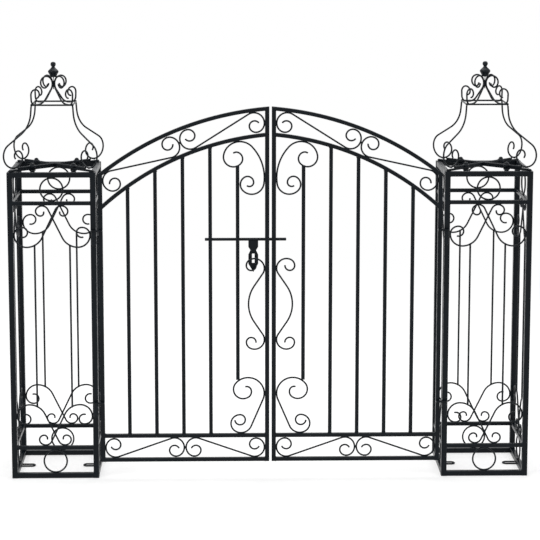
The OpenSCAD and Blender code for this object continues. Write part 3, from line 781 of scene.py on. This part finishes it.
# S scrolls that fill the gap between two rails; two that meet stand twice pairGap apart
leafScroll = dict(turns=(150, 60, 70, 165), tight=(0.8, 0.8), pairGap=0.0002)


def sScroll(a, b):
    return wire([a, b], leafScroll["turns"], leafScroll["turns"], leafScroll["tight"])


def inLeaf(parts):
    return [moved(part, (0, leaf["y"], 0)) for part in parts]


def archScrolls():
    # two S scrolls between the arches, end to end; a peg stands at (cos a, sin a) of the middle
    # radius from the arches' centre
    gap = leaf["archDrop"] - leaf["rail"]
    midR, curlR = leaf["archR"] - leaf["rail"] - gap/2, gap/2 - seat

    def peg(a, hand):
        return archX + midR*math.cos(a), archY + midR*math.sin(a), hand*curlR

    a, b = (math.acos((x - archX)/midR)
            for x in (leaf["bay0"] + curlR + seat, leaf["bay1"] - curlR - seat))
    mid, off = (a + b)/2, math.asin((curlR + half + leafScroll["pairGap"])/midR)
    x, z, _ = peg(mid, 1)
    return inLeaf([sScroll(peg(a, -1), peg(mid + off, 1)), sScroll(peg(mid - off, 1), peg(b, -1)),
                   weldBead((x, 0, z), "pair")])


def bottomScrolls():
    # two S scrolls between the bottom rails, mirrored about the leaf's middle
    z, mid = leaf["friezeLow"] + leaf["frieze"]/2, (leaf["bay0"] + leaf["bay1"])/2
    curlR = leaf["frieze"]/2 - seat
    a, b = leaf["bay0"] + curlR + seat, mid - curlR - half - leafScroll["pairGap"]
    one = sScroll((a, z, curlR), (b, z, -curlR))
    return inLeaf([one, mirrored(one, 0, mid), weldBead((mid, 0, z), "pair")])


# Scrolls beside the meeting stile. In and drop are measured from the stile and from the arch or
# rail that carries the scroll, and the turns are the curls', from the outside in
topScroll = dict(lowIn=0.0293, lowDrop=0.0975, lowR=-0.0285, sideAt=-98, sideR=-0.105, topAt=-47,
                 topR=-0.0385, archIn=0.0555, hangAt=80, hangR=-0.023, hangTurns=(150, 110, 60),
                 lowTurns=(130, 100, 120, 130))
brace = dict(z=0.417, curlIn=0.023, curlUp=0.085, curlR=-0.023, bowOut=0.039, bowR=0.076,
             turns=(150, 65, 185))
footScroll = dict(footIn=0.055, footR=-0.026, headIn=0.050, headUp=0.079, headR=-0.0227,
                  browAt=50, browR=-0.038, tailAt=150, tailR=-0.0215, headTurns=(165, 80, 85),
                  tailTurns=(150, 265), tight=(0.68, 0.57))


def centreScrolls():
    # a C scroll under the arch, an open brace and a C scroll on the bottom rail, then the short
    # bar, whose ends they touch
    f, t, b, s = leaf, topScroll, brace, footScroll
    touch = f["bay1"] - seat
    under = archZ(f["lowR"] - f["rail"], touch - t["archIn"])
    low = (touch - t["lowIn"], under - t["lowDrop"], t["lowR"])
    side = takesOver(low, t["sideAt"], t["sideR"])
    top = takesOver(side, t["topAt"], t["topR"])
    hang = takesOver(top, t["hangAt"], t["hangR"])
    curls = [(touch - b["curlIn"], b["z"] + up, b["curlR"]) for up in (b["curlUp"], -b["curlUp"])]
    bow = (touch + b["bowOut"], b["z"], b["bowR"])
    foot = (touch - s["footIn"], f["bayZ"] - s["footR"] + seat, s["footR"])
    head = (touch - s["headIn"], foot[1] + s["headUp"], s["headR"])
    brow, tail = takesOver(head, s["browAt"], s["browR"]), takesOver(foot, s["tailAt"], s["tailR"])
    x = f["bay1"] - f["pitch"]
    return inLeaf([
        wire([hang, top, side, low], t["hangTurns"], t["lowTurns"]),
        wire([curls[0], bow, curls[1]], b["turns"], b["turns"]),
        wire([head, brow, foot, tail], s["headTurns"], s["tailTurns"], s["tight"]),
        bar((x, 0, f["shortZ"]), (x, 0, f["shortTop"]), squareProfile(f["bar"], f["corner"]),
            f["shortEase"], (1, 0, 0))])


twins += [("leafFrame", leafPanel(), "leaf_panel", "leaf"),
          ("archScrolls", archScrolls(), "arch_scrolls", "leaf"),
          ("bottomScrolls", bottomScrolls(), "bottom_scrolls", "leaf"),
          ("centreScrolls", centreScrolls(), "centre_scrolls", "leaf")]

# everything so far is drawn once, at the left, and mirrored about the gate's middle
for name, parts, node, body in twins:
    for hand in ("left", "right"):
        drawn = parts if hand == "left" else [mirrored(part, 0, midX) for part in parts]
        show(f"{hand}{name[0].upper()}{name[1:]}", drawn, f"{hand}_{node}",
             body if body == "posts" else f"{hand}_leaf")
print("leaves made")

# The bolt's rod is drawn anew; its handle, the keepers and the hinge pins are the CAD's own, with
# their edges eased and the same coat
boltRod = dict(ease=0.0012, sides=28)
fitting = dict(bevel=0.0006, segments=3, edgeAngle=40, merge=0.00002,
               nodes=("left_hinge_pins", "right_hinge_pins", "left_bolt_keepers",
                      "right_bolt_keepers", "bolt_handle"))

low, high = (np.array(c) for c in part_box("bolt_rod"))
mid = (low + high)/2
rod = bar((low[0], mid[1], mid[2]), (high[0], mid[1], mid[2]),
          roundProfile(high[2] - low[2], boltRod["sides"]), boltRod["ease"], (0, 1, 0))
show("boltRod", [rod], "bolt_rod", "bolt")

for key in fitting["nodes"]:
    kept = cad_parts[key]
    kept.data.materials.clear()
    kept.data.materials.append(coat)
    kept.modifiers.new("oneSkin", "WELD").merge_threshold = fitting["merge"]
    eased = kept.modifiers.new("easedEdges", "BEVEL")
    eased.width, eased.segments = fitting["bevel"], fitting["segments"]
    eased.limit_method, eased.angle_limit = "ANGLE", math.radians(fitting["edgeAngle"])
    eased.harden_normals = True
print("fittings finished")
